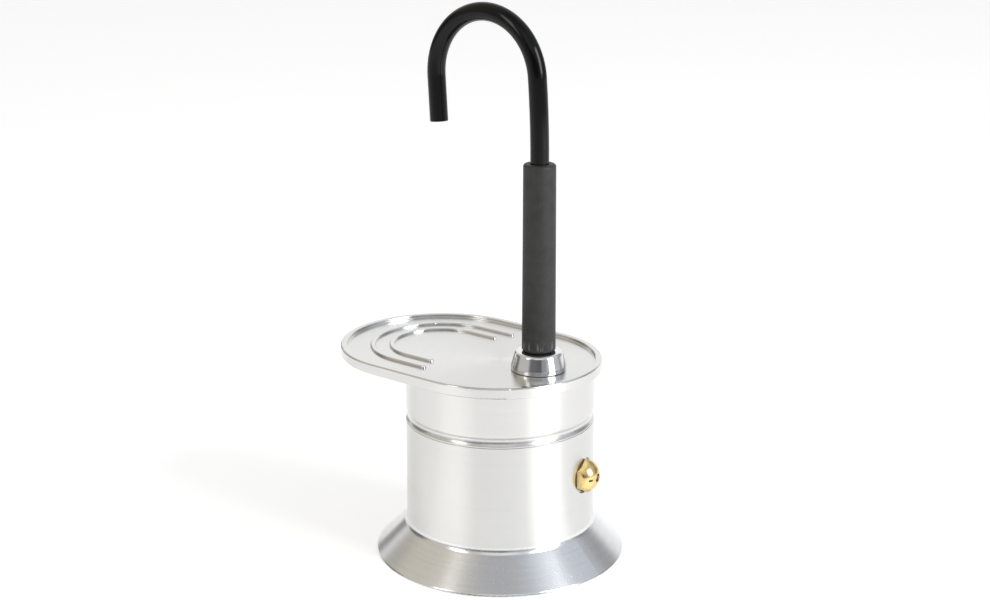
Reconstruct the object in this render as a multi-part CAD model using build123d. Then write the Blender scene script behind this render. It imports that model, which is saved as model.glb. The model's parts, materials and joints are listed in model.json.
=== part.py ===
from build123d import *
import math
import os

os.makedirs("parts", exist_ok=True)

# One-cup stovetop coffee maker with a gooseneck spout. Millimetres, +Z up.
# The origin is the boiler's axis at the surface it stands on. The cup platform
# reaches towards -X, and the spout's boss is on the +X side of the axis.

# --- driving dimensions -------------------------------------------------------

BODY_R = 31.0                 # boiler's turned outside
SKIRT_R = 41.25               # flared foot at the table
SKIRT_TOP_Z = 11.8            # seam between the boiler's wall and the foot
SHOULDER_Z = 45.45            # boiler's sharp upper edge
LIP_R = 30.1                  # head's polished lip, which shows as a groove
LIP_BOTTOM_Z = 45.55
LIP_EDGE_R = 30.9             # the lip flares out again to this radius at its foot
GROOVE_TOP_Z = 47.9
COLLAR_R = 31.1               # head's collar
PLATFORM_R = 33.4             # both ends of the oval platform
PLATFORM_REACH = 26.0         # from the boiler's axis to the platform's outer centre
PLATFORM_BOTTOM_Z = 62.55
PLATE_Z = 65.05               # surface that the cup stands on
RIM_TOP_Z = 66.15
RIM_WIDTH = 2.2

# Raised U ridges on the platform: radius at the middle of the ridge, end of its legs in X
RIDGES = [(22.6, -12.6), (16.2, -15.1)]
RIDGE_WIDTH = 1.7
RIDGE_HEIGHT = 0.75

# Spout, bent in the plane Y = 0
SPOUT_X = 16.0                # upright axis
TUBE_R = 3.0                  # 6 mm tube
TUBE_BORE_R = 2.2
TUBE_FOOT_Z = 64.5
UPRIGHT_TOP_Z = 132.5         # the tube is straight up to here
LEAN_R = 328.0                # long gentle bend above the grip
LEAN_DEG = 4.67
HOOK_R = 20.8
HOOK_DEG = 179.0
OUTLET_LEG = 14.9             # straight end down to the outlet
GRIP_TOP_Z = 132.4
GRIP_FOOT_R = 5.45
GRIP_TOP_R = 5.2

# Screw joint between the boiler and the head
PITCH = 2.5
THREAD_CORE_R = 27.7          # boiler's neck under its thread
THREAD_CREST_R = 28.7
COLLAR_CREST_R = 27.95        # crest of the head's internal thread
COLLAR_ROOT_R = 28.95
CREST_WIDTH = 0.75
FLANK_TAPER = 0.7             # ridge width lost per millimetre towards the crest
FLANK_GAP = 0.2               # axial play on each flank
THREAD_SINK = 0.15            # how far a ridge is rooted in its wall
BOILER_THREAD_Z = 49.0        # middle of the thread's first turn, on +X
BOILER_THREAD_TURNS = 2.1
COLLAR_THREAD_TURNS = 2.9

# Boiler and funnel
BORE_R = 25.8
FLOOR_Z = 4.0
HUB_R = 28.5                  # lower end that carries the foot ring
MOUTH_Z = 55.6
FUNNEL_RIM_R = 27.6
FUNNEL_RIM_T = 0.9
FUNNEL_R = 25.4
FUNNEL_WALL = 0.8
SCREEN_Z = 42.6
SCREEN_T = 0.5
STEM_R = 4.0
STEM_BORE_R = 3.2
STEM_FOOT_Z = 6.0
CONE_FOOT_Z = 40.0            # inside face of the funnel's flat centre
CONE_FOOT_R = 6.2             # the stem is swaged to this flat, above and below it

# Seal stack in the head
GASKET_GAP = 0.1
GASKET_R = 27.7
GASKET_BORE_R = 22.4
GASKET_TOP_Z = 58.95
FILTER_TOP_Z = 59.7
RECESS_R = 27.8
RECESS_Z = 56.0
SEAT_Z = 59.8
CHAMBER_R = 23.0
CHAMBER_TOP_Z = 61.9

# Gland that holds the spout
SPIGOT_R = 6.6                # stands on the plate and carries the nut
SPIGOT_TOP_Z = 68.0
PORT_R = 2.6
PORT_TOP_Z = 64.3
RUNNING_GAP = 0.06
SEAL_BORE_R = 4.25
SEAL_FLOOR_Z = 66.2
GLAND_WASHER_Z = 67.42
GLAND_WASHER_TOP_Z = 67.95
TUBE_COLLAR_R = 6.1
TUBE_COLLAR_Z = 68.1
TUBE_COLLAR_TOP_Z = 68.9
NUT_FOOT_Z = 65.15            # just clear of the plate
NUT_FOOT_R = 8.95
NUT_TAPER_Z = 66.5            # plain band below, taper above
NUT_TOP_R = 7.6
NUT_TOP_Z = 71.3
NUT_CEILING_Z = 69.05
NUT_MOUTH_R = 3.3
GRIP_FOOT_Z = 71.4            # the sleeve turns just clear of the nut's top

# Safety valve, measured along its own axis from the boiler's axis
VALVE_Z = 30.15
VALVE_ANGLE = 11.2            # from +X towards +Y
VALVE_SEAT = 30.3             # spot face on the boiler's wall
SPOT_FACE_R = 5.9
WASHER_R = 4.9
WASHER_T = 0.4
HEX_FLATS = 10.0
HEX_END = 35.7
DOME_R = 5.81
DOME_CENTRE = 30.15
SHANK_R = 4.0
SHANK_END = 23.0
ORIFICE_R = 0.75
VALVE_BORE_R = 2.7
VALVE_BORE_END = 24.2
VALVE_MOUTH_R = 1.35          # the end is crimped in over the retainer to this hole
VENT_R = 0.45
VENT_AT = 34.85
POPPET_R = 2.2
POPPET_FROM = 24.9
POPPET_TO = 25.7
PIN_R = 0.8
PIN_END = 35.3
RETAINER_FROM = 33.3
RETAINER_TO = 34.3
RETAINER_BORE_R = 1.45
SPRING_R = 1.75
SPRING_WIRE_R = 0.15
SPRING_TURNS = 6.5


# --- helpers --------------------------------------------------------------------

def turned(points):
    """Solid of revolution about Z from (radius, height) corners."""
    outline = Plane.XZ * make_face(Polyline(*points, close=True))
    return revolve(outline, Axis.Z, 360)


def ring(outer, inner, bottom, top):
    """Flat washer or length of tube on Z."""
    return turned([(inner, bottom), (outer, bottom), (outer, top), (inner, top)])


def disc(radius, bottom, top):
    """Round disc on Z."""
    return Pos(0, 0, (bottom + top) / 2) * Cylinder(radius, top - bottom)


def circles_at(shape, radius, height):
    """Circular edges of one radius at one height."""
    near = 0.02
    circles = shape.edges().filter_by(GeomType.CIRCLE)
    return circles.filter_by(
        lambda edge: abs(edge.radius - radius) < near and abs(edge.arc_center.Z - height) < near
    )


def edges_at(shape, height):
    """Edges that lie wholly at one height."""
    near = 0.02
    return shape.edges().filter_by(
        lambda edge: abs(edge.bounding_box().min.Z - height) < near
        and abs(edge.bounding_box().max.Z - height) < near
    )


def widest_y(edge):
    """How far an edge reaches from the plane Y = 0."""
    reach = edge.bounding_box()
    return max(abs(reach.min.Y), abs(reach.max.Y))


def helical_ridge(root_r, crest_r, crest_width, middle_z, turns):
    """Right-handed thread ridge on Z whose middle starts at middle_z on +X."""
    root_width = crest_width + FLANK_TAPER * abs(crest_r - root_r)
    profile = Plane.XZ * make_face(Polyline(
        (root_r, middle_z - root_width / 2),
        (crest_r, middle_z - crest_width / 2),
        (crest_r, middle_z + crest_width / 2),
        (root_r, middle_z + root_width / 2),
        close=True,
    ))
    path = Helix(PITCH, PITCH * turns, root_r, center=(0, 0, middle_z))
    return sweep(profile, path, is_frenet=True)


def hole_grid(field_r, spacing, hole_r, bottom, top):
    """Cylinders on a triangular grid inside a circle, for the perforated discs."""
    row_step = spacing * math.sqrt(3) / 2
    rows = int(field_r / row_step) + 1
    columns = int(field_r / spacing) + 1
    holes = []
    for row in range(-rows, rows + 1):
        y = row * row_step
        for column in range(-columns, columns + 1):
            x = (column + (row % 2) / 2) * spacing
            if math.hypot(x, y) < field_r - hole_r:
                holes.append(Pos(x, y, 0) * disc(hole_r, bottom - 1, top + 1))
    return holes


def on_valve_axis(shape):
    """Carries a piece made on Z to the valve: its height becomes distance from the boiler's axis."""
    return Pos(0, 0, VALVE_Z) * Rot(0, 0, VALVE_ANGLE) * Rot(0, 90, 0) * shape


def on_spout_axis(shape):
    return Pos(SPOUT_X, 0, 0) * shape


# --- boiler and its foot ring -----------------------------------------------------

def make_boiler():
    foot_break = 0.5
    edge_break = 0.1
    mouth_break = 0.6
    floor_corner = 5.0
    pot = turned([
        (0, 0),
        (HUB_R - foot_break, 0),
        (HUB_R, foot_break),
        (HUB_R, SKIRT_TOP_Z),
        (BODY_R, SKIRT_TOP_Z),
        (BODY_R, SHOULDER_Z - edge_break),
        (BODY_R - edge_break, SHOULDER_Z),
        (THREAD_CORE_R, SHOULDER_Z),
        (THREAD_CORE_R, MOUTH_Z - mouth_break),
        (THREAD_CORE_R - mouth_break, MOUTH_Z),
        (0, MOUTH_Z),
    ])
    thread = helical_ridge(
        THREAD_CORE_R - THREAD_SINK, THREAD_CREST_R, CREST_WIDTH, BOILER_THREAD_Z, BOILER_THREAD_TURNS
    )
    bore = disc(BORE_R, FLOOR_Z, MOUTH_Z + 1)
    bore = fillet(circles_at(bore, BORE_R, FLOOR_Z), floor_corner)
    spot_face = on_valve_axis(disc(SPOT_FACE_R, VALVE_SEAT, BODY_R + 3))
    port = on_valve_axis(disc(SHANK_R, SHANK_END, BODY_R + 3))
    return pot + thread - bore - spot_face - port


def make_flame_skirt():
    """Conical foot: coved under the seam, rounded at the table, hollow underneath."""
    edge_width = 1.0
    edge_land = 0.45
    edge_rounding = 1.0
    cove_drop = 1.2
    cove_r = 2.6
    hub_wall = 1.8
    hub_foot_z = 1.0
    crotch_z = 8.0
    skirt = turned([
        (HUB_R, hub_foot_z),
        (HUB_R + hub_wall, hub_foot_z),
        (HUB_R + hub_wall, crotch_z),
        (SKIRT_R - edge_width, 0),
        (SKIRT_R, 0),
        (SKIRT_R, edge_land),
        (BODY_R, SKIRT_TOP_Z - cove_drop),
        (BODY_R, SKIRT_TOP_Z),
        (HUB_R, SKIRT_TOP_Z),
    ])
    skirt = fillet(circles_at(skirt, BODY_R, SKIRT_TOP_Z - cove_drop), cove_r)
    return fillet(circles_at(skirt, SKIRT_R, edge_land), edge_rounding)


# --- safety valve -------------------------------------------------------------------

def make_valve_washer():
    return on_valve_axis(ring(WASHER_R, SHANK_R, VALVE_SEAT, VALVE_SEAT + WASHER_T))


def make_valve_body():
    """Domed hexagon with a corner upwards, its shank, stepped bore, mouth and cross vent."""
    hex_from = VALVE_SEAT + WASHER_T
    hexagon = RegularPolygon(HEX_FLATS / 2, 6, major_radius=False)
    head = Pos(0, 0, hex_from) * extrude(hexagon, HEX_END - hex_from)
    head = head & (Pos(0, 0, DOME_CENTRE) * Sphere(DOME_R))
    shank = disc(SHANK_R, SHANK_END, hex_from)
    orifice = disc(ORIFICE_R, SHANK_END - 1, VALVE_BORE_END)
    bore = disc(VALVE_BORE_R, VALVE_BORE_END, RETAINER_TO)
    mouth = disc(VALVE_MOUTH_R, RETAINER_TO, HEX_END + 1)
    vent = Pos(0, 0, VENT_AT) * Rot(90, 0, 0) * Cylinder(VENT_R, 2 * HEX_FLATS)
    return on_valve_axis(head + shank - orifice - bore - mouth - vent)


def make_valve_seal():
    seat_gap = 0.05
    inset = 0.1
    return on_valve_axis(disc(POPPET_R - inset, VALVE_BORE_END + seat_gap, POPPET_FROM))


def make_valve_poppet():
    tip_break = 0.25
    return on_valve_axis(turned([
        (0, POPPET_FROM),
        (POPPET_R, POPPET_FROM),
        (POPPET_R, POPPET_TO),
        (PIN_R, POPPET_TO),
        (PIN_R, PIN_END - tip_break),
        (PIN_R - tip_break, PIN_END),
        (0, PIN_END),
    ]))


def make_valve_spring():
    end_gap = 0.03
    first = POPPET_TO + end_gap + SPRING_WIRE_R
    last = RETAINER_FROM - end_gap - SPRING_WIRE_R
    path = Helix((last - first) / SPRING_TURNS, last - first, SPRING_R, center=(0, 0, first))
    wire = Plane(origin=path @ 0, z_dir=path % 0) * Circle(SPRING_WIRE_R)
    return on_valve_axis(sweep(wire, path, is_frenet=True))


def make_valve_retainer():
    return on_valve_axis(ring(VALVE_BORE_R, RETAINER_BORE_R, RETAINER_FROM, RETAINER_TO))


# --- funnel -------------------------------------------------------------------------

def make_funnel_cup():
    """Basket with a flat rim, a ledge for the screen, and a cone with a flat centre."""
    inner_r = FUNNEL_R - FUNNEL_WALL
    ledge_r = inner_r - FUNNEL_WALL
    rim_top_z = MOUTH_Z + FUNNEL_RIM_T
    cone_drop = 1.2
    return turned([
        (FUNNEL_RIM_R, MOUTH_Z),
        (FUNNEL_RIM_R, rim_top_z),
        (inner_r, rim_top_z),
        (inner_r, SCREEN_Z),
        (ledge_r, SCREEN_Z),
        (CONE_FOOT_R, CONE_FOOT_Z),
        (STEM_R, CONE_FOOT_Z),
        (STEM_R, CONE_FOOT_Z - FUNNEL_WALL),
        (CONE_FOOT_R, CONE_FOOT_Z - FUNNEL_WALL),
        (inner_r, SCREEN_Z - cone_drop),
        (FUNNEL_R, SCREEN_Z - cone_drop + FUNNEL_WALL),
        (FUNNEL_R, MOUTH_Z),
    ])


def make_funnel_screen():
    hole_r = 0.6
    plate = disc(FUNNEL_R - FUNNEL_WALL - 0.05, SCREEN_Z, SCREEN_Z + SCREEN_T)
    return plate - hole_grid(23.0, 3.2, hole_r, SCREEN_Z, SCREEN_Z + SCREEN_T)


def make_funnel_stem():
    """Rise tube with two notches in its foot, swaged over both faces of the funnel's centre."""
    notch_r = 1.5
    swage_r = STEM_R + 0.7
    swage_t = 0.5
    cone_underside_z = CONE_FOOT_Z - FUNNEL_WALL
    tube = ring(STEM_R, STEM_BORE_R, STEM_FOOT_Z, CONE_FOOT_Z + swage_t)
    tube += ring(swage_r, STEM_BORE_R, CONE_FOOT_Z, CONE_FOOT_Z + swage_t)
    tube += ring(swage_r, STEM_BORE_R, cone_underside_z - swage_t, cone_underside_z)
    notch = Pos(0, 0, STEM_FOOT_Z) * Rot(0, 90, 0) * Cylinder(notch_r, 4 * STEM_R)
    return tube - notch


# --- head: seal, filter plate, casting ---------------------------------------------------

def make_head_gasket():
    rounding = 0.3
    foot_z = MOUTH_Z + FUNNEL_RIM_T + GASKET_GAP
    gasket = ring(GASKET_R, GASKET_BORE_R, foot_z, GASKET_TOP_Z)
    return fillet(edges_at(gasket, foot_z), rounding)


def make_filter_plate():
    rim_inset = 0.2
    hole_r = 0.6
    plate = disc(RECESS_R - rim_inset, GASKET_TOP_Z, FILTER_TOP_Z)
    return plate - hole_grid(GASKET_BORE_R - 1, 3.0, hole_r, GASKET_TOP_Z, FILTER_TOP_Z)


def oval(radius):
    """Platform outline: two equal circles joined by straight sides."""
    middle = Pos(-PLATFORM_REACH / 2, 0) * Rectangle(PLATFORM_REACH, 2 * radius)
    return Circle(radius) + Pos(-PLATFORM_REACH, 0) * Circle(radius) + middle


def make_platform():
    outer_rounding = 0.55
    inner_rounding = 0.35
    slab = Pos(0, 0, PLATFORM_BOTTOM_Z) * extrude(oval(PLATFORM_R), RIM_TOP_Z - PLATFORM_BOTTOM_Z)
    slab = fillet(edges_at(slab, RIM_TOP_Z) + edges_at(slab, PLATFORM_BOTTOM_Z), outer_rounding)
    tray = Pos(0, 0, PLATE_Z) * extrude(oval(PLATFORM_R - RIM_WIDTH), RIM_TOP_Z)
    tray = fillet(edges_at(tray, PLATE_Z), inner_rounding)
    platform = slab - tray
    tray_reach = PLATFORM_R - RIM_WIDTH + 0.05
    inner_edges = edges_at(platform, RIM_TOP_Z).filter_by(lambda edge: widest_y(edge) < tray_reach)
    return fillet(inner_edges, inner_rounding)


def make_ridge(middle_r, leg_end_x):
    """One raised U, open towards the spout, with round ends and a crowned top."""
    half = RIDGE_WIDTH / 2
    crown = 0.45
    bend = Circle(middle_r + half) - Circle(middle_r - half)
    bend = bend & (Pos(-middle_r, 0) * Rectangle(2 * middle_r, 4 * middle_r))
    outline = Pos(-PLATFORM_REACH, 0) * bend
    leg = leg_end_x - half + PLATFORM_REACH
    for side in (-1, 1):
        outline += Pos(-PLATFORM_REACH + leg / 2, side * middle_r) * Rectangle(leg, RIDGE_WIDTH)
        outline += Pos(leg_end_x - half, side * middle_r) * Circle(half)
    ridge = Pos(0, 0, PLATE_Z - RIDGE_HEIGHT) * extrude(outline, 2 * RIDGE_HEIGHT)
    return fillet(edges_at(ridge, PLATE_Z + RIDGE_HEIGHT), crown)


def make_brew_head():
    """Casting: threaded collar with its groove lip, cup platform, coffee chamber and spout spigot."""
    lip_edge = 0.35
    lip_rise = 0.67
    lip_cove = 2.0
    groove_rise = 1.3
    groove_cove = 0.8
    groove_rounding = 2.0
    relief_rise = 1.0
    lip_edge_z = LIP_BOTTOM_Z + lip_edge
    lip_cove_z = lip_edge_z + lip_rise
    collar_foot_z = GROOVE_TOP_Z + groove_rise
    collar = turned([
        (0, LIP_BOTTOM_Z),
        (LIP_EDGE_R, LIP_BOTTOM_Z),
        (LIP_EDGE_R, lip_edge_z),
        (LIP_R, lip_cove_z),
        (LIP_R, GROOVE_TOP_Z),
        (COLLAR_R, collar_foot_z),
        (COLLAR_R, PLATFORM_BOTTOM_Z + relief_rise),
        (0, PLATFORM_BOTTOM_Z + relief_rise),
    ])
    collar = fillet(circles_at(collar, LIP_R, lip_cove_z), lip_cove)
    collar = fillet(circles_at(collar, LIP_R, GROOVE_TOP_Z), groove_cove)
    collar = fillet(circles_at(collar, COLLAR_R, collar_foot_z), groove_rounding)
    inside = turned([
        (0, LIP_BOTTOM_Z - 1),
        (COLLAR_ROOT_R, LIP_BOTTOM_Z - 1),
        (COLLAR_ROOT_R, RECESS_Z),
        (RECESS_R, RECESS_Z),
        (RECESS_R, SEAT_Z),
        (CHAMBER_R, SEAT_Z),
        (CHAMBER_R, CHAMBER_TOP_Z - relief_rise),
        (CHAMBER_R - relief_rise, CHAMBER_TOP_Z),
        (0, CHAMBER_TOP_Z),
    ])
    mating_width = CREST_WIDTH + FLANK_TAPER * (THREAD_CREST_R - COLLAR_CREST_R)
    thread = helical_ridge(
        COLLAR_ROOT_R + THREAD_SINK,
        COLLAR_CREST_R,
        PITCH - mating_width - 2 * FLANK_GAP,
        BOILER_THREAD_Z - PITCH / 2,
        COLLAR_THREAD_TURNS,
    )
    head = collar + make_platform() - inside + thread
    for middle_r, leg_end_x in RIDGES:
        head += make_ridge(middle_r, leg_end_x)
    head += on_spout_axis(disc(SPIGOT_R, PLATE_Z - 1, SPIGOT_TOP_Z))
    head -= on_spout_axis(disc(PORT_R, CHAMBER_TOP_Z - 1, PORT_TOP_Z))
    head -= on_spout_axis(disc(TUBE_R + RUNNING_GAP, PORT_TOP_Z, SEAL_FLOOR_Z))
    head -= on_spout_axis(disc(SEAL_BORE_R, SEAL_FLOOR_Z, SPIGOT_TOP_Z + 1))
    return head


# --- gland and spout ----------------------------------------------------------------------

def make_spout_o_ring():
    section_r = 0.58
    middle_r = 3.64
    rise = 0.6
    return on_spout_axis(Pos(0, 0, SEAL_FLOOR_Z + rise) * Torus(middle_r, section_r))


def make_gland_washer():
    side_gap = 0.05
    washer = ring(SEAL_BORE_R - side_gap, TUBE_R + side_gap, GLAND_WASHER_Z, GLAND_WASHER_TOP_Z)
    return on_spout_axis(washer)


def make_tube_collar():
    return on_spout_axis(ring(TUBE_COLLAR_R, TUBE_R, TUBE_COLLAR_Z, TUBE_COLLAR_TOP_Z))


def make_spout_nut():
    """Tapered round nut with a plain band at its foot and a well rounded top under the grip."""
    thread_gap = 0.05
    foot_rounding = 0.3
    band_rounding = 0.9
    crown_rounding = 1.2
    nut = turned([
        (SPIGOT_R + thread_gap, NUT_FOOT_Z),
        (NUT_FOOT_R, NUT_FOOT_Z),
        (NUT_FOOT_R, NUT_TAPER_Z),
        (NUT_TOP_R, NUT_TOP_Z),
        (NUT_MOUTH_R, NUT_TOP_Z),
        (NUT_MOUTH_R, NUT_CEILING_Z),
        (SPIGOT_R + thread_gap, NUT_CEILING_Z),
    ])
    nut = fillet(circles_at(nut, NUT_FOOT_R, NUT_FOOT_Z), foot_rounding)
    nut = fillet(circles_at(nut, NUT_FOOT_R, NUT_TAPER_Z), band_rounding)
    return on_spout_axis(fillet(circles_at(nut, NUT_TOP_R, NUT_TOP_Z), crown_rounding))


def spout_path():
    """Upright run, long lean, hook and outlet leg, in the plane Y = 0."""
    upright = Line((SPOUT_X, TUBE_FOOT_Z), (SPOUT_X, UPRIGHT_TOP_Z))
    lean = JernArc(upright @ 1, upright % 1, LEAN_R, LEAN_DEG)
    hook = JernArc(lean @ 1, lean % 1, HOOK_R, HOOK_DEG)
    leg = Line(hook @ 1, hook @ 1 + OUTLET_LEG * (hook % 1))
    return Plane.XZ * (upright + lean + hook + leg)


def make_spout_tube():
    path = spout_path()
    foot = Plane(origin=(SPOUT_X, 0, TUBE_FOOT_Z), z_dir=(0, 0, 1))
    section = foot * (Circle(TUBE_R) - Circle(TUBE_BORE_R))
    return sweep(section, path)


def make_grip_sleeve():
    """Silicone sleeve, a little thicker at the foot, with a rounded top edge."""
    foot_rounding = 0.9
    top_rounding = 0.9
    sleeve = turned([
        (TUBE_R, GRIP_FOOT_Z),
        (GRIP_FOOT_R, GRIP_FOOT_Z),
        (GRIP_TOP_R, GRIP_TOP_Z),
        (TUBE_R, GRIP_TOP_Z),
    ])
    sleeve = fillet(circles_at(sleeve, GRIP_TOP_R, GRIP_TOP_Z), top_rounding)
    sleeve = fillet(circles_at(sleeve, GRIP_FOOT_R, GRIP_FOOT_Z), foot_rounding)
    return on_spout_axis(sleeve)


# --- every piece ----------------------------------------------------------------------------

PIECES = {
    "boiler": make_boiler,
    "flame_skirt": make_flame_skirt,
    "valve_body": make_valve_body,
    "valve_washer": make_valve_washer,
    "valve_seal": make_valve_seal,
    "valve_poppet": make_valve_poppet,
    "valve_spring": make_valve_spring,
    "valve_retainer": make_valve_retainer,
    "funnel_cup": make_funnel_cup,
    "funnel_screen": make_funnel_screen,
    "funnel_stem": make_funnel_stem,
    "head_gasket": make_head_gasket,
    "filter_plate": make_filter_plate,
    "brew_head": make_brew_head,
    "spout_o_ring": make_spout_o_ring,
    "gland_washer": make_gland_washer,
    "tube_collar": make_tube_collar,
    "spout_nut": make_spout_nut,
    "spout_tube": make_spout_tube,
    "grip_sleeve": make_grip_sleeve,
}

for name, make in PIECES.items():
    export_step(make(), f"parts/{name}.step")
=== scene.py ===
import json
import math

import bmesh
import bpy
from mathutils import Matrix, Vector


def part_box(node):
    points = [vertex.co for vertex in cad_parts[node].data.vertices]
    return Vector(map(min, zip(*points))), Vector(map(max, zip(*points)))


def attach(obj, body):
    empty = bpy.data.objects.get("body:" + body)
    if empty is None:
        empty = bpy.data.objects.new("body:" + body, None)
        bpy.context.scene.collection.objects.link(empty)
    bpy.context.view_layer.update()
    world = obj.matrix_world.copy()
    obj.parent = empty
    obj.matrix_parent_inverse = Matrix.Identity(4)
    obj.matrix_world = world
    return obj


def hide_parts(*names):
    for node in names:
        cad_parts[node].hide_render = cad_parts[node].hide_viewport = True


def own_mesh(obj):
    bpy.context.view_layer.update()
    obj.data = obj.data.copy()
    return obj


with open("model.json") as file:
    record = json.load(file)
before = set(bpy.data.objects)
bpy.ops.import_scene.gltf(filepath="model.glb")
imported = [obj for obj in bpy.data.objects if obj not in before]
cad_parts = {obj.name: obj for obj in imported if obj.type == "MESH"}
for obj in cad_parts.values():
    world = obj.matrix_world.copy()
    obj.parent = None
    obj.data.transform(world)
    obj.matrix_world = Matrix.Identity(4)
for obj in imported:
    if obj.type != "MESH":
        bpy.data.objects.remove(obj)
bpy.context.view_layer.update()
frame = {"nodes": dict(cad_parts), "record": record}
NODES = frame["nodes"]

# --- places, in metres, read from the frame --------------------------------------

NUT_LOW, NUT_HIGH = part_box("spout_nut")
SPOUT_X = (NUT_LOW[0] + NUT_HIGH[0]) / 2
BOILER_AXIS = (0.0, 0.0)
SPOUT_AXIS = (SPOUT_X, 0.0)


# --- node helpers ---------------------------------------------------------------------

class Nodes:
    """Short ways to build one material's node tree."""

    def __init__(self, name):
        self.material = bpy.data.materials.new(name)
        self.material.use_nodes = True
        self.tree = self.material.node_tree
        self.shader = self.tree.nodes["Principled BSDF"]
        self.position = self.node("ShaderNodeTexCoord").outputs["Object"]

    def node(self, kind, **settings):
        made = self.tree.nodes.new(kind)
        for key, value in settings.items():
            setattr(made, key, value)
        return made

    def feed(self, socket, value):
        if isinstance(value, bpy.types.NodeSocket):
            self.tree.links.new(value, socket)
        else:
            socket.default_value = value

    def math(self, operation, a, b=0.0, c=0.0):
        made = self.node("ShaderNodeMath", operation=operation)
        for socket, value in zip(made.inputs, (a, b, c)):
            self.feed(socket, value)
        return made.outputs[0]

    def vector(self, x, y, z):
        made = self.node("ShaderNodeCombineXYZ")
        for socket, value in zip(made.inputs, (x, y, z)):
            self.feed(socket, value)
        return made.outputs[0]

    def split(self, vector):
        made = self.node("ShaderNodeSeparateXYZ")
        self.feed(made.inputs[0], vector)
        return made.outputs

    def noise(self, vector, scale, detail=3.0, roughness=0.5):
        made = self.node("ShaderNodeTexNoise")
        self.feed(made.inputs["Vector"], vector)
        self.feed(made.inputs["Scale"], scale)
        self.feed(made.inputs["Detail"], detail)
        self.feed(made.inputs["Roughness"], roughness)
        return made.outputs["Fac"]

    def spread(self, value, low, high, to_low=0.0, to_high=1.0):
        """Maps low..high to to_low..to_high, clamped."""
        made = self.node("ShaderNodeMapRange")
        for name, number in zip(("Value", "From Min", "From Max", "To Min", "To Max"),
                                (value, low, high, to_low, to_high)):
            self.feed(made.inputs[name], number)
        return made.outputs[0]

    def mix(self, share, a, b):
        made = self.node("ShaderNodeMix", data_type="RGBA")
        self.feed(made.inputs["Factor"], share)
        self.feed(made.inputs["A"], a)
        self.feed(made.inputs["B"], b)
        return made.outputs["Result"]

    def bump(self, height, distance, strength):
        made = self.node("ShaderNodeBump")
        self.feed(made.inputs["Height"], height)
        self.feed(made.inputs["Distance"], distance)
        self.feed(made.inputs["Strength"], strength)
        return made.outputs[0]

    def around(self, axis):
        """(x and y from an upright axis, radius, height) of the shaded point."""
        x, y, z = self.split(self.position)
        dx = self.math("SUBTRACT", x, axis[0])
        dy = self.math("SUBTRACT", y, axis[1])
        squares = self.math("ADD", self.math("MULTIPLY", dx, dx), self.math("MULTIPLY", dy, dy))
        return dx, dy, self.math("SQRT", squares), z

    def stretched(self, a, b, c, scales):
        """Three lengths as one noise vector, each multiplied by its own scale."""
        return self.vector(*[self.math("MULTIPLY", value, scale) for value, scale in zip((a, b, c), scales)])

    def ring_direction(self, dx, dy):
        """Direction of the turning marks round an upright axis, for the shader's tangent."""
        turned = self.vector(self.math("MULTIPLY", dy, -1.0), dx, 0.0)
        made = self.node("ShaderNodeVectorTransform", vector_type="VECTOR",
                         convert_from="OBJECT", convert_to="WORLD")
        self.feed(made.inputs[0], turned)
        return made.outputs[0]

    def set(self, **values):
        for name, value in values.items():
            self.feed(self.shader.inputs[name.replace("_", " ")], value)


# --- materials ----------------------------------------------------------------------------

def turned_metal(name, axis, colour, tint, roughness, anisotropy, groove, marks=0.0):
    """Metal turned on a lathe about an upright axis: fine rings, faint streaks, clouding and specks."""
    ring_scales = (5200.0, 22.0, 5200.0)
    streak_scales = (900.0, 60.0, 900.0)
    cloud_scale = 55.0
    speck_scale = 1400.0
    roughness_swing = 0.03
    quarter_turn = 0.25
    ring_depth = 0.15
    n = Nodes(name)
    dx, dy, radius, z = n.around(axis)
    rings = n.noise(n.stretched(radius, dx, z, ring_scales), 1.0, 2.0)
    streaks = n.noise(n.stretched(radius, dy, z, streak_scales), 1.0, 3.0)
    cloud = n.noise(n.position, cloud_scale, 4.0)
    specks = n.spread(n.noise(n.position, speck_scale, 2.0), 0.7, 0.8)
    tone = n.math("ADD", n.math("MULTIPLY", streaks, 0.5), n.math("MULTIPLY", cloud, 0.5))
    rough, smooth = roughness * (1 + roughness_swing), roughness * (1 - roughness_swing)
    n.set(
        Base_Color=n.mix(n.spread(tone, 0.3, 0.7), tint, colour),
        Metallic=1.0,
        Roughness=n.math("ADD", n.spread(tone, 0.3, 0.7, rough, smooth), n.math("MULTIPLY", specks, marks)),
        Anisotropic=anisotropy,
        Anisotropic_Rotation=quarter_turn,
        Tangent=n.ring_direction(dx, dy),
        Normal=n.bump(rings, groove, ring_depth),
    )
    return n.material


def plain_metal(name, colour, tint, roughness, grain, scale):
    """Metal with an even, fine mottled finish."""
    fine_scale = scale * 14.0
    n = Nodes(name)
    cloud = n.noise(n.position, scale, 4.0)
    fine = n.noise(n.position, fine_scale, 2.0)
    n.set(
        Base_Color=n.mix(n.spread(cloud, 0.35, 0.65), tint, colour),
        Metallic=1.0,
        Roughness=n.spread(cloud, 0.3, 0.7, roughness * 1.25, roughness * 0.8),
        Normal=n.bump(fine, grain, 0.6),
    )
    return n.material


def soft_plastic(name, colour, tint, roughness, grain, scale):
    """Matte rubber or fibre with a fine skin texture."""
    cloud_scale = scale * 0.12
    n = Nodes(name)
    cloud = n.noise(n.position, cloud_scale, 4.0)
    skin = n.noise(n.position, scale, 3.0)
    n.set(
        Base_Color=n.mix(n.spread(cloud, 0.35, 0.65), tint, colour),
        Roughness=n.spread(skin, 0.3, 0.7, roughness * 0.9, min(1.0, roughness * 1.1)),
        Normal=n.bump(skin, grain, 0.7),
    )
    return n.material


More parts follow.
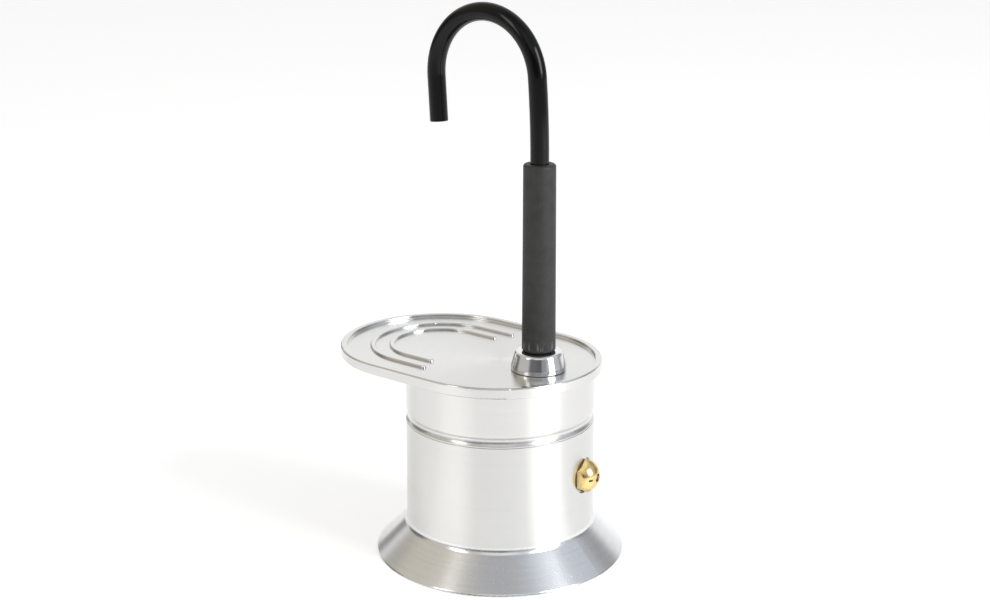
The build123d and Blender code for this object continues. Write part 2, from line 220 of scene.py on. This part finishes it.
def grip_silicone(name, foot):
    """Dark silicone sleeve, dusty, and pinched into short pale creases just above its foot."""
    dark = (0.021, 0.0208, 0.0200, 1.0)
    light = (0.029, 0.0285, 0.0275, 1.0)
    pale = (0.16, 0.16, 0.155, 1.0)
    crease_scales = (1500.0, 1500.0, 150.0)
    crease_from, crease_full = foot + 0.0008, foot + 0.0014
    crease_fades, crease_to = foot + 0.0022, foot + 0.0040
    crease_strength = 0.8
    dust_strength = 0.35
    n = Nodes(name)
    dx, dy, _, z = n.around(SPOUT_AXIS)
    cloud = n.noise(n.position, 300.0, 4.0)
    skin = n.noise(n.position, 2600.0, 3.0)
    creases = n.spread(n.noise(n.stretched(dx, dy, z, crease_scales), 1.0, 2.0), 0.53, 0.63)
    above = n.spread(z, crease_from, crease_full)
    below = n.spread(z, crease_fades, crease_to, 1.0, 0.0)
    pinch = n.math("MULTIPLY", creases, n.math("MULTIPLY", above, below))
    dust = n.math("MULTIPLY", n.spread(n.noise(n.position, 2100.0, 2.0), 0.70, 0.78), dust_strength)
    rubber = n.mix(n.spread(cloud, 0.35, 0.65), dark, light)
    paleness = n.math("MAXIMUM", n.math("MULTIPLY", pinch, crease_strength), dust)
    n.set(
        Base_Color=n.mix(paleness, rubber, pale),
        Roughness=n.spread(skin, 0.3, 0.7, 0.50, 0.62),
        Normal=n.bump(n.math("SUBTRACT", skin, pinch), 0.00003, 0.7),
        Specular_IOR_Level=0.40,
    )
    return n.material


def gloss_coating(name):
    """Black gloss enamel over bent tube, with faint orange peel and dust."""
    black = (0.0015, 0.0015, 0.0016, 1.0)
    dusty = (0.008, 0.008, 0.009, 1.0)
    n = Nodes(name)
    peel = n.noise(n.position, 420.0, 2.0)
    dust = n.spread(n.noise(n.position, 2600.0, 2.0), 0.68, 0.78)
    n.set(
        Base_Color=n.mix(dust, black, dusty),
        Roughness=n.spread(peel, 0.3, 0.7, 0.10, 0.15),
        Normal=n.bump(peel, 0.00004, 0.25),
        Specular_IOR_Level=0.22,
    )
    return n.material


def dress(node, material):
    """Gives a CAD node's object one material in every slot."""
    item = NODES[node]
    if not item.material_slots:
        item.data.materials.append(material)
    for place in item.material_slots:
        place.material = material


SATIN = (0.70, 0.695, 0.68, 1.0)
SATIN_TINT = (0.675, 0.67, 0.655, 1.0)
BRIGHT = (0.78, 0.785, 0.795, 1.0)
BRIGHT_TINT = (0.71, 0.71, 0.71, 1.0)

wall_metal = turned_metal("wall_metal", BOILER_AXIS, SATIN, SATIN_TINT,
                          roughness=0.28, anisotropy=0.85, groove=0.000004)
head_metal = turned_metal("head_metal", BOILER_AXIS, SATIN, SATIN_TINT,
                          roughness=0.24, anisotropy=0.75, groove=0.000003)
foot_metal = turned_metal("foot_metal", BOILER_AXIS, BRIGHT, BRIGHT_TINT,
                          roughness=0.21, anisotropy=0.5, groove=0.000005, marks=0.35)
nut_metal = turned_metal("nut_metal", SPOUT_AXIS, BRIGHT, BRIGHT_TINT,
                         roughness=0.12, anisotropy=0.5, groove=0.000005)
sheet_metal = plain_metal("sheet_metal", BRIGHT, BRIGHT_TINT,
                          roughness=0.26, grain=0.00001, scale=160.0)
brass = plain_metal("brass", (0.80, 0.62, 0.30, 1.0), (0.70, 0.52, 0.22, 1.0),
                    roughness=0.18, grain=0.00001, scale=260.0)
steel = plain_metal("steel", (0.66, 0.65, 0.64, 1.0), (0.56, 0.56, 0.56, 1.0),
                    roughness=0.24, grain=0.00001, scale=300.0)
fibre = soft_plastic("fibre", (0.30, 0.20, 0.13, 1.0), (0.22, 0.15, 0.10, 1.0),
                     roughness=0.7, grain=0.00003, scale=2400.0)
seal_rubber = soft_plastic("seal_rubber", (0.78, 0.76, 0.70, 1.0), (0.70, 0.68, 0.62, 1.0),
                           roughness=0.5, grain=0.00002, scale=1800.0)
grip_rubber = grip_silicone("grip_rubber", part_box("grip_sleeve")[0][2])
tube_gloss = gloss_coating("tube_gloss")

FINISH = {
    "boiler": wall_metal,
    "flame_skirt": foot_metal,
    "brew_head": head_metal,
    "spout_nut": nut_metal,
    "funnel_cup": sheet_metal,
    "funnel_screen": sheet_metal,
    "funnel_stem": sheet_metal,
    "filter_plate": sheet_metal,
    "valve_body": brass,
    "valve_retainer": brass,
    "valve_poppet": steel,
    "valve_spring": steel,
    "gland_washer": steel,
    "tube_collar": steel,
    "valve_washer": fibre,
    "valve_seal": seal_rubber,
    "head_gasket": seal_rubber,
    "spout_o_ring": seal_rubber,
    "spout_tube": tube_gloss,
    "grip_sleeve": grip_rubber,
}
for node_name, finish in FINISH.items():
    dress(node_name, finish)


# --- valve spring ---------------------------------------------------------------------------------

SPRING_LENGTH = 0.0076          # from the poppet's disc to the retainer
SPRING_END_GAP = 0.00003
SPRING_R = 0.00175
SPRING_WIRE_R = 0.00015
SPRING_TURNS = 6.5
RETAINER_T = 0.001


def make_spring():
    """The valve's coil, one fixed mesh between the poppet's disc and the retainer."""
    steps_per_turn = 32
    sides = 10
    joints = frame["record"]["behaviour"]["joints"]
    lift = next(joint for joint in joints if joint["name"] == "valve_lift")
    outward = Vector(lift["axis"]).normalized()
    across = Vector((0, 0, 1))
    along = outward.cross(across)
    low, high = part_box("valve_retainer")
    retainer_face = (Vector(low) + Vector(high)) / 2 - outward * RETAINER_T / 2
    coil_length = SPRING_LENGTH - 2 * (SPRING_END_GAP + SPRING_WIRE_R)
    first = retainer_face - outward * (SPRING_END_GAP + SPRING_WIRE_R + coil_length)
    steps = int(SPRING_TURNS * steps_per_turn)
    points = []
    for step in range(steps + 1):
        turn = 2 * math.pi * step / steps_per_turn
        radial = across * math.cos(turn) + along * math.sin(turn)
        circling = along * math.cos(turn) - across * math.sin(turn)
        heading = (circling * SPRING_R * 2 * math.pi * SPRING_TURNS + outward * coil_length).normalized()
        beside = heading.cross(radial)
        centre = first + outward * (coil_length * step / steps) + radial * SPRING_R
        for side in range(sides):
            angle = 2 * math.pi * side / sides
            points.append(centre + (radial * math.cos(angle) + beside * math.sin(angle)) * SPRING_WIRE_R)
    faces = []
    for step in range(steps):
        for side in range(sides):
            near, after = step * sides + side, step * sides + (side + 1) % sides
            faces.append((near, after, after + sides, near + sides))
    faces.append(tuple(reversed(range(sides))))
    faces.append(tuple(range(steps * sides, (steps + 1) * sides)))
    mesh = bpy.data.meshes.new("valve_spring_coil")
    mesh.from_pydata(points, [], faces)
    shaped = bmesh.new()
    shaped.from_mesh(mesh)
    bmesh.ops.recalc_face_normals(shaped, faces=shaped.faces)
    shaped.to_mesh(mesh)
    shaped.free()
    mesh.polygons.foreach_set("use_smooth", [len(face.vertices) == 4 for face in mesh.polygons])
    mesh.materials.append(steel)
    coil = bpy.data.objects.new("valve_spring_coil", mesh)
    bpy.context.scene.collection.objects.link(coil)
    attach(coil, "boiler_assembly")
    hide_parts("valve_spring")
    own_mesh(coil)


make_spring()


# --- floor, light and camera --------------------------------------------------------------------

# Painted pools of light on the floor round the object: azimuth, full within, gone beyond (degrees), extra
# painted glow
PAINTED_LIGHT_FANS = [(51, 14, 24, 0.30), (-51, 6, 26, 0.16)]
FLOOR_HALF = 4.0
PAINTED_FLOOR_GLOW = 0.30
GLOW_FADES_FROM = 0.25          # metres from the boiler's axis, on the camera's side, where the painted glow starts to fade
GLOW_FADES_TO = 0.5
FLOOR_DROP = 0.0002             # keeps the floor clear of the foot's flat face


def make_floor():
    """Pale floor that glows with painted light, brighter in fans round the object and fading out on the
    camera's side, and so lights the object's walls a little from below.
    """
    half = FLOOR_HALF
    mesh = bpy.data.meshes.new("floor")
    corners = [(-half, -half, 0), (half, -half, 0), (half, half, 0), (-half, half, 0)]
    mesh.from_pydata(corners, [], [(0, 1, 2, 3)])
    floor = bpy.data.objects.new("floor", mesh)
    bpy.context.scene.collection.objects.link(floor)
    n = Nodes("pale_floor_painted_glow")
    cloud = n.noise(n.position, 3.0, 3.0)
    outward = n.node("ShaderNodeVectorMath", operation="NORMALIZE")
    n.feed(outward.inputs[0], n.position)
    # Painted light: the floor glows though it is no lamp, brighter in pools round the object and fading out
    # on the camera's side.
    painted_glow = PAINTED_FLOOR_GLOW
    for azimuth, full, gone, extra in PAINTED_LIGHT_FANS:
        near = n.node("ShaderNodeVectorMath", operation="DOT_PRODUCT")
        n.feed(near.inputs[0], outward.outputs[0])
        n.feed(near.inputs[1], studio_direction(azimuth, 0))
        share = n.spread(near.outputs["Value"],
                         math.cos(math.radians(gone)), math.cos(math.radians(full)))
        painted_glow = n.math("ADD", painted_glow, n.math("MULTIPLY", share, extra))
    toward = n.node("ShaderNodeVectorMath", operation="DOT_PRODUCT")
    n.feed(toward.inputs[0], n.position)
    n.feed(toward.inputs[1], studio_direction(0, 0))
    fade = n.spread(toward.outputs["Value"], GLOW_FADES_FROM, GLOW_FADES_TO, 1.0, 0.0)
    painted_glow = n.math("MULTIPLY", painted_glow, fade)
    n.set(
        Base_Color=n.mix(cloud, (0.92, 0.92, 0.92, 1.0), (0.94, 0.94, 0.935, 1.0)),
        Roughness=0.9,
        Emission_Color=(1.0, 1.0, 1.0, 1.0),
        Emission_Strength=painted_glow,
    )
    mesh.materials.append(n.material)
    floor.location.z = -FLOOR_DROP


def area_light(name, azimuth, distance, height, size, power):
    """White soft box that faces the middle of the object."""
    place = around_object(azimuth, distance, height)
    data = bpy.data.lights.new(name, "AREA")
    data.shape = "RECTANGLE"
    data.size, data.size_y = size
    data.energy = power
    light = bpy.data.objects.new(name, data)
    bpy.context.scene.collection.objects.link(light)
    light.location = place
    light.rotation_euler = (Vector(LIGHT_TARGET) - Vector(place)).to_track_quat("-Z", "Y").to_euler()


LIGHT_TARGET = (0, 0, 0.06)

CAMERA_AZIMUTH = math.radians(39.16)
CAMERA_DISTANCE = 0.5395
CAMERA_HEIGHT = 0.2407
CAMERA_PITCH = math.radians(13.93)
CAMERA_SHIFT = (-0.0051, -0.0657)
FRAME_WIDTH = 990.0
FOCAL = 1726.7 / FRAME_WIDTH    # focal length as a share of the frame's width
SENSOR = 36.0


def around_object(azimuth, distance, height):
    """A place round the object: azimuth in degrees to the right of the camera's own side."""
    turn = CAMERA_AZIMUTH + math.radians(azimuth)
    return (distance * math.sin(turn), -distance * math.cos(turn), height)


def make_camera():
    """Camera at the photograph's viewing angle."""
    data = bpy.data.cameras.new("camera")
    data.sensor_width = SENSOR
    data.lens = FOCAL * SENSOR
    data.shift_x, data.shift_y = CAMERA_SHIFT
    data.dof.use_dof = False
    camera = bpy.data.objects.new("camera", data)
    bpy.context.scene.collection.objects.link(camera)
    camera.location = around_object(0, CAMERA_DISTANCE, CAMERA_HEIGHT)
    camera.rotation_euler = (math.pi / 2 - CAMERA_PITCH, 0, CAMERA_AZIMUTH)
    bpy.context.scene.camera = camera


def studio_direction(azimuth, elevation):
    """Unit vector to a place on the studio's dome: azimuth to the right of the camera's side, in degrees."""
    flat = math.cos(math.radians(elevation))
    across, along, _ = around_object(azimuth, flat, 0)
    return (across, along, math.sin(math.radians(elevation)))


DOME = (0.56, 0.56, 0.56, 1.0)
# Soft patches on the dome: azimuth, elevation, full within, gone beyond (degrees), colour
PATCHES = [
    (180, 20, 25, 60, (1.10, 1.10, 1.11)),
    (-95, 58, 28, 65, (0.68, 0.64, 0.56)),
    (85, 58, 28, 65, (0.66, 0.70, 0.76)),
    (0, 42, 10, 26, (0.95, 0.95, 0.95)),
    (0, 78, 10, 26, (0.42, 0.42, 0.43)),
    (-26, 9, 6, 22, (0.16, 0.16, 0.165)),
    (0, 9, 8, 22, (0.13, 0.13, 0.135)),
    (24, 9, 3, 15, (0.34, 0.34, 0.35)),
    (-115, 5, 10, 24, (0.16, 0.155, 0.145)),
    (-153, 8, 6, 15, (0.26, 0.25, 0.24)),
    (113, 6, 8, 22, (0.30, 0.30, 0.30)),
    (133, 30, 7, 20, (0.40, 0.40, 0.41)),
]


def make_world():
    """Pale studio dome with soft lighter and darker patches, for the polished metal to reflect."""
    world = bpy.data.worlds.new("studio")
    bpy.context.scene.world = world
    world.use_nodes = True
    tree = world.node_tree
    place = tree.nodes.new("ShaderNodeTexCoord").outputs["Generated"]
    colour = DOME
    for azimuth, elevation, full, gone, shade in PATCHES:
        near = tree.nodes.new("ShaderNodeVectorMath")
        near.operation = "DOT_PRODUCT"
        tree.links.new(place, near.inputs[0])
        near.inputs[1].default_value = studio_direction(azimuth, elevation)
        share = tree.nodes.new("ShaderNodeMapRange")
        share.interpolation_type = "SMOOTHSTEP"
        tree.links.new(near.outputs["Value"], share.inputs["Value"])
        share.inputs["From Min"].default_value = math.cos(math.radians(gone))
        share.inputs["From Max"].default_value = math.cos(math.radians(full))
        mix = tree.nodes.new("ShaderNodeMix")
        mix.data_type = "RGBA"
        tree.links.new(share.outputs[0], mix.inputs["Factor"])
        if isinstance(colour, tuple):
            mix.inputs["A"].default_value = colour
        else:
            tree.links.new(colour, mix.inputs["A"])
        mix.inputs["B"].default_value = (*shade, 1.0)
        colour = mix.outputs["Result"]
    tree.links.new(colour, tree.nodes["Background"].inputs["Color"])


make_floor()
make_world()
area_light("key", azimuth=58, distance=1.1, height=0.58, size=(0.5, 0.7), power=9.0)
area_light("fill", azimuth=-55, distance=1.1, height=0.80, size=(0.3, 0.6), power=2.0)
make_camera()

bpy.context.scene.view_settings.view_transform = "Standard"
